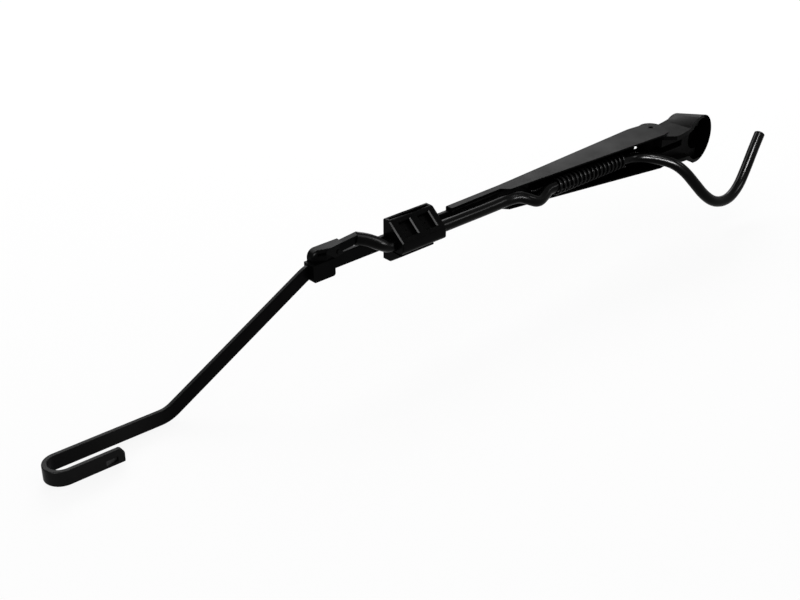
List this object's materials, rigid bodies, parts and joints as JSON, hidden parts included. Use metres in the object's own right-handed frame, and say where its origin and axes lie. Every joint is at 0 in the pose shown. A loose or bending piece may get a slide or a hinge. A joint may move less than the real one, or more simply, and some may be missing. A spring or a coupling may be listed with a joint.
{
  "type": "wiper arm",
  "caption": "Front wiper arm with a cast spindle head, sprung folding retainer, flat bar with a J hook, washer hose, spray block and end nozzle.",
  "frame": {"origin": "centre of the spindle bore at its mouth, on the hub's face towards the glass", "axes": "-X along the arm from the spindle to the blade hook, +Y away from the glass along the spindle, +Z across the arm, on the side of the spray block's windows"},
  "size_m": [0.5997, 0.0608, 0.0777],
  "materials": {
    "black_coat": "satin black coat",
    "pin_steel": "black coated steel",
    "spring_wire": "glossy black coated spring wire",
    "hose_rubber": "smooth shiny rubber",
    "black_plastic": "moulded satin",
    "jet_plastic": "moulded matt"
  },
  "bodies": {
    "head": {"head": "black_coat", "hinge_pin": "pin_steel", "hinge_washers": "pin_steel", "spring_pin": "pin_steel"},
    "arm": {"retainer": "black_coat", "bar": "black_coat", "bar_rivets": "pin_steel", "spring": "spring_wire", "hose": "hose_rubber", "link_hose": "hose_rubber", "spray_block": "black_plastic", "block_shoe": "black_plastic", "jet_chips": "jet_plastic", "end_connector": "black_plastic", "end_nozzle": "black_plastic", "end_jet": "jet_plastic"}
  },
  "joints": [
    {"name": "arm_hinge", "type": "hinge", "parent": "head", "child": "arm", "pos_m": [-0.0393, 0.0069, 0], "axis": [0, 0, -1], "range_deg": [0, 95], "stiffness_Nm_per_rad": 0.8, "springref_deg": -34.38, "deforming": ["spring"]}
  ]
}
